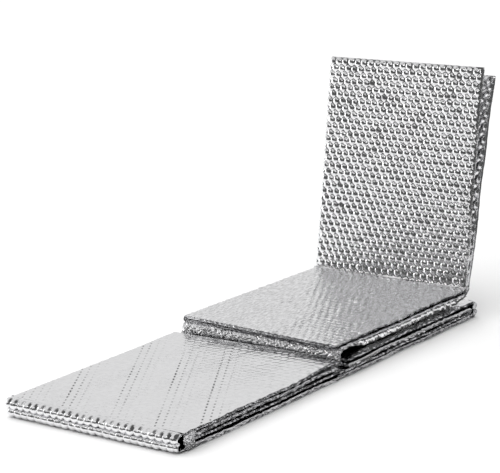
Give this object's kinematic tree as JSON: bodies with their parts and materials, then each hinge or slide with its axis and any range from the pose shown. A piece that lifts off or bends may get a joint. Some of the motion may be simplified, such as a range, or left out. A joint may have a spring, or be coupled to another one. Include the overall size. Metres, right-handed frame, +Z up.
{
  "type": "folding sleeping pad",
  "caption": "Folding sleeping pad of silver foil-faced bubble sheet, part unfolded, with one panel standing up.",
  "frame": {"origin": "centre of the face that the base pile's bottom panel rests on, on the ground", "axes": "+Y along the pad, from the near pile to the standing panel; +X across the pad, away from the side rolls; +Z up"},
  "size_m": [0.3, 0.7996, 0.3816],
  "materials": {
    "foil": "bright crinkled metallised film",
    "bubble_core": "clear polyethylene air bubbles",
    "folded_sheet": "bright metallised film, creased at the folds"
  },
  "bodies": {
    "panel_1": {"panel_1_back_outer_foil": "foil", "panel_1_back_bubble_core": "bubble_core", "panel_1_back_inner_foil": "foil", "panel_1_front_outer_foil": "foil", "panel_1_front_bubble_core": "bubble_core", "panel_1_front_inner_foil": "foil", "panel_1_side_roll": "folded_sheet"},
    "panel_2": {"panel_2_lower_outer_foil": "foil", "panel_2_lower_bubble_core": "bubble_core", "panel_2_lower_inner_foil": "foil", "panel_2_upper_outer_foil": "foil", "panel_2_upper_bubble_core": "bubble_core", "panel_2_upper_inner_foil": "foil", "panel_2_side_roll": "folded_sheet", "back_fold_bend": "folded_sheet"},
    "panel_3": {"panel_3_lower_outer_foil": "foil", "panel_3_lower_bubble_core": "bubble_core", "panel_3_lower_inner_foil": "foil", "panel_3_upper_outer_foil": "foil", "panel_3_upper_bubble_core": "bubble_core", "panel_3_upper_inner_foil": "foil", "panel_3_side_roll": "folded_sheet", "junction_fold_roll": "folded_sheet"},
    "panel_4": {"panel_4_lower_outer_foil": "foil", "panel_4_lower_bubble_core": "bubble_core", "panel_4_lower_inner_foil": "foil", "panel_4_upper_outer_foil": "foil", "panel_4_upper_bubble_core": "bubble_core", "panel_4_upper_inner_foil": "foil", "panel_4_side_roll": "folded_sheet", "middle_fold_bridge": "folded_sheet", "far_fold_roll": "folded_sheet"},
    "panel_5": {"panel_5_lower_outer_foil": "foil", "panel_5_lower_bubble_core": "bubble_core", "panel_5_lower_inner_foil": "foil", "panel_5_upper_outer_foil": "foil", "panel_5_upper_bubble_core": "bubble_core", "panel_5_upper_inner_foil": "foil", "panel_5_side_roll": "folded_sheet", "front_fold_roll": "folded_sheet"},
    "panel_6": {"panel_6_lower_outer_foil": "foil", "panel_6_lower_bubble_core": "bubble_core", "panel_6_lower_inner_foil": "foil", "panel_6_upper_outer_foil": "foil", "panel_6_upper_bubble_core": "bubble_core", "panel_6_upper_inner_foil": "foil", "panel_6_side_roll": "folded_sheet"}
  },
  "joints": [
    {"name": "middle_fold", "type": "hinge", "parent": "panel_4", "child": "panel_5", "pos_m": [0, -0.186, 0.047], "axis": [1, 0, 0], "range_deg": [-160, 0], "deforming": ["middle_fold_bridge"]},
    {"name": "front_fold", "type": "hinge", "parent": "panel_5", "child": "panel_6", "pos_m": [0, -0.5444, 0.0136], "axis": [1, 0, 0], "range_deg": [0, 180], "deforming": ["front_fold_roll"]},
    {"name": "far_fold", "type": "hinge", "parent": "panel_4", "child": "panel_3", "pos_m": [0, 0.1724, 0.0136], "axis": [-1, 0, 0], "range_deg": [0, 78], "deforming": ["far_fold_roll"]},
    {"name": "junction_fold", "type": "hinge", "parent": "panel_3", "child": "panel_2", "pos_m": [0, -0.1726, 0.0312], "axis": [1, 0, 0], "range_deg": [0, 100], "deforming": ["junction_fold_roll"]},
    {"name": "back_fold", "type": "hinge", "parent": "panel_2", "child": "panel_1", "pos_m": [0, 0.162, 0.0488], "axis": [1, 0, 0], "range_deg": [-78, 99], "deforming": ["back_fold_bend"]}
  ]
}
